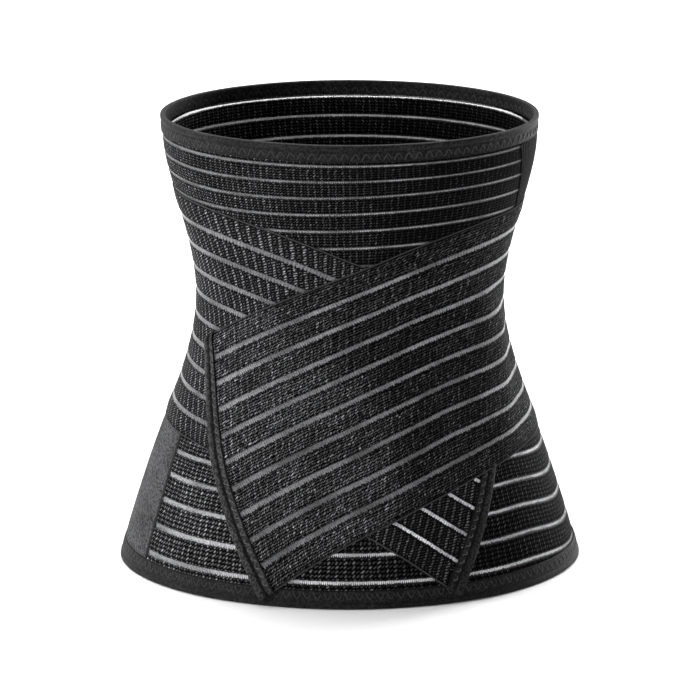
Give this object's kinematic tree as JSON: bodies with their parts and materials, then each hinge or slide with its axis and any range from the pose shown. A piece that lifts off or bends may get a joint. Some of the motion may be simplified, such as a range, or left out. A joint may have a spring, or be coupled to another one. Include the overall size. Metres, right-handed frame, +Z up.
{
  "type": "abdominal binder",
  "caption": "Hourglass elastic waist wrap, open at both ends, bound at the rims, with two wide striped straps crossed over the front.",
  "frame": {"origin": "middle of the bottom rim's bounding box, on the surface that the binder stands on", "axes": "+Z up from the bottom rim to the top rim, -Y towards the wearer's front where the straps cross, +X to the viewer's right"},
  "size_m": [0.3204, 0.231, 0.315],
  "materials": {
    "striped_elastic": "ribbed knitted elastic with sheer light grey stripes",
    "strap_elastic": "ribbed knitted elastic with sheer light grey stripes",
    "binding_tape": "smooth matt woven tape with zigzag stitching",
    "brushed_panel": "short brushed pile",
    "plain_panel": "plain matt knit"
  },
  "bodies": {
    "root": {"base_panel": "striped_elastic", "top_binding": "binding_tape", "bottom_binding": "binding_tape", "left_side_panel": "brushed_panel", "right_side_panel": "plain_panel", "under_strap": "strap_elastic", "under_strap_binding": "binding_tape", "over_strap": "strap_elastic", "over_strap_binding": "binding_tape"}
  },
  "joints": []
}
